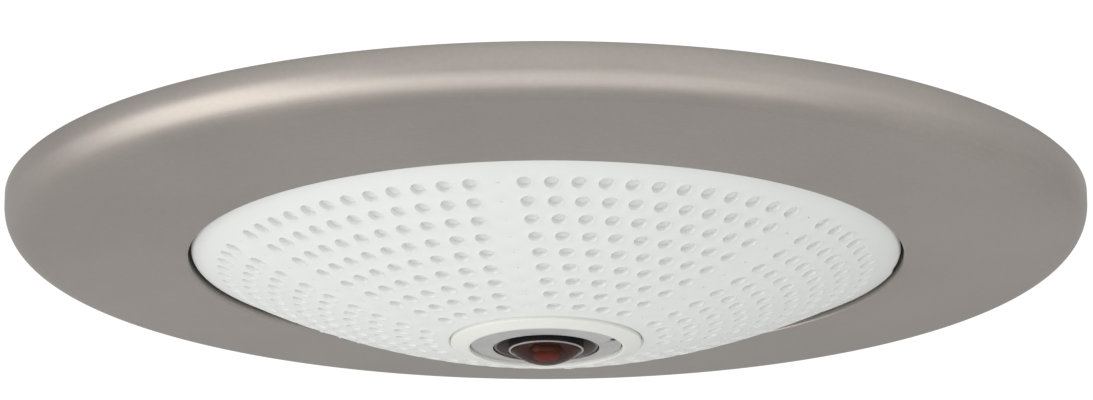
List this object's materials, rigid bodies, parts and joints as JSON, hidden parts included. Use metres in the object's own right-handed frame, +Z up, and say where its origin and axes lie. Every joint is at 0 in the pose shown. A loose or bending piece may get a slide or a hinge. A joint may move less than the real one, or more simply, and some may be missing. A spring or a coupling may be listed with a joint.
{
  "type": "ceiling camera",
  "caption": "Recessed hemispheric ceiling camera: a dimpled white dome with a central fisheye lens in a wide satin steel trim ring, held in a ceiling cut-out by swing-out clamps.",
  "frame": {"origin": "centre of the ceiling cut-out, in the plane of the ceiling's lower face", "axes": "+Z up along the lens axis, away from the room; +X to the right and +Y away from the viewer"},
  "size_m": [0.245, 0.245, 0.0616],
  "materials": {
    "trim_steel": "satin brushed, clear coated",
    "spring_steel": "bright",
    "mount_plastic": "matt moulded",
    "zinc_steel": "zinc plated",
    "fixing_steel": "zinc plated",
    "dog_plastic": "glass filled",
    "shell_white": "fine moulded texture",
    "collar_white": "satin",
    "housing_grey": "matt moulded",
    "rubber": "matt",
    "bezel_silver": "turned, satin",
    "lens_black": "matt",
    "barrel_metal": "anodised",
    "lens_glass": "coated, polished",
    "board_green": "solder resist",
    "chip_black": "moulded",
    "light_metal": "natural",
    "brass": "bright",
    "speaker_black": "matt",
    "ferrite": "ground",
    "cone_paper": "matt"
  },
  "bodies": {
    "mount": {"mounting_ring": "mount_plastic", "bayonet_ring": "zinc_steel"},
    "ring": {"trim_ring": "trim_steel", "ring_clip_1": "spring_steel", "ring_clip_2": "spring_steel", "ring_clip_3": "spring_steel"},
    "camera": {"front_shell": "shell_white", "rear_housing": "housing_grey", "housing_gasket": "rubber", "housing_screw_1": "fixing_steel", "housing_screw_2": "fixing_steel", "housing_screw_3": "fixing_steel", "chassis_plate": "zinc_steel", "lens_collar": "collar_white", "lens_bezel": "bezel_silver", "lens_funnel": "lens_black", "lens_barrel": "barrel_metal", "front_glass": "lens_glass", "inner_lens": "lens_glass", "retaining_ring": "lens_black", "rear_lens": "lens_glass", "aperture_ring": "lens_black", "lens_holder": "lens_black", "sensor_board": "board_green", "image_sensor": "chip_black", "main_board": "board_green", "processor": "chip_black", "heat_spreader": "light_metal", "board_standoff_1": "brass", "board_standoff_2": "brass", "board_standoff_3": "brass", "board_screw_1": "fixing_steel", "board_screw_2": "fixing_steel", "board_screw_3": "fixing_steel", "speaker_frame": "speaker_black", "speaker_magnet": "ferrite", "microphone": "light_metal", "network_socket": "light_metal", "card_reader": "zinc_steel", "key_switch": "chip_black", "vent_plug": "speaker_black"},
    "card": {"memory_card": "chip_black"},
    "key": {"reset_key": "chip_black"},
    "cone": {"speaker_cone": "cone_paper"},
    "screw_1": {"clamp_screw_1": "fixing_steel"},
    "nut_1": {"clamp_nut_1": "fixing_steel"},
    "dog_1": {"clamp_dog_1": "dog_plastic"},
    "screw_2": {"clamp_screw_2": "fixing_steel"},
    "nut_2": {"clamp_nut_2": "fixing_steel"},
    "dog_2": {"clamp_dog_2": "dog_plastic"}
  },
  "joints": [
    {"name": "ring_pull", "type": "slide", "parent": "mount", "child": "ring", "axis": [0, 0, -1], "range_m": [0, 0.04]},
    {"name": "camera_twist", "type": "hinge", "parent": "mount", "child": "camera", "pos_m": [0, 0, 0], "axis": [0, 0, 1], "range_deg": [-28, 0]},
    {"name": "card_eject", "type": "slide", "parent": "camera", "child": "card", "axis": [0, 0, 1], "range_m": [0, 0.012]},
    {"name": "reset_press", "type": "slide", "parent": "camera", "child": "key", "axis": [0, 0, -1], "range_m": [0, 0.0006], "stiffness_N_per_m": 1500},
    {"name": "cone_stroke", "type": "slide", "parent": "camera", "child": "cone", "axis": [0, 0, -1], "range_m": [-0.0005, 0.0005], "stiffness_N_per_m": 1200},
    {"name": "screw_turn_1", "type": "hinge", "parent": "mount", "child": "screw_1", "pos_m": [0.094, 0, 0], "axis": [0, 0, 1], "range_deg": [-901, 1405]},
    {"name": "nut_travel_1", "type": "slide", "parent": "mount", "child": "nut_1", "axis": [0, 0, 1], "range_m": [-0.0078, 0.005]},
    {"name": "dog_swing_1", "type": "hinge", "parent": "nut_1", "child": "dog_1", "pos_m": [0.094, 0, 0], "axis": [0, 0, 1], "range_deg": [0, 90]},
    {"name": "screw_turn_2", "type": "hinge", "parent": "mount", "child": "screw_2", "pos_m": [-0.094, 0, 0], "axis": [0, 0, 1], "range_deg": [-901, 1405]},
    {"name": "nut_travel_2", "type": "slide", "parent": "mount", "child": "nut_2", "axis": [0, 0, 1], "range_m": [-0.0078, 0.005]},
    {"name": "dog_swing_2", "type": "hinge", "parent": "nut_2", "child": "dog_2", "pos_m": [-0.094, 0, 0], "axis": [0, 0, 1], "range_deg": [0, 90]}
  ],
  "couplings": [
    {"joint": "screw_turn_1", "follows": "nut_travel_1", "rad_per_m": -3141.6},
    {"joint": "screw_turn_2", "follows": "nut_travel_2", "rad_per_m": -3141.6}
  ]
}
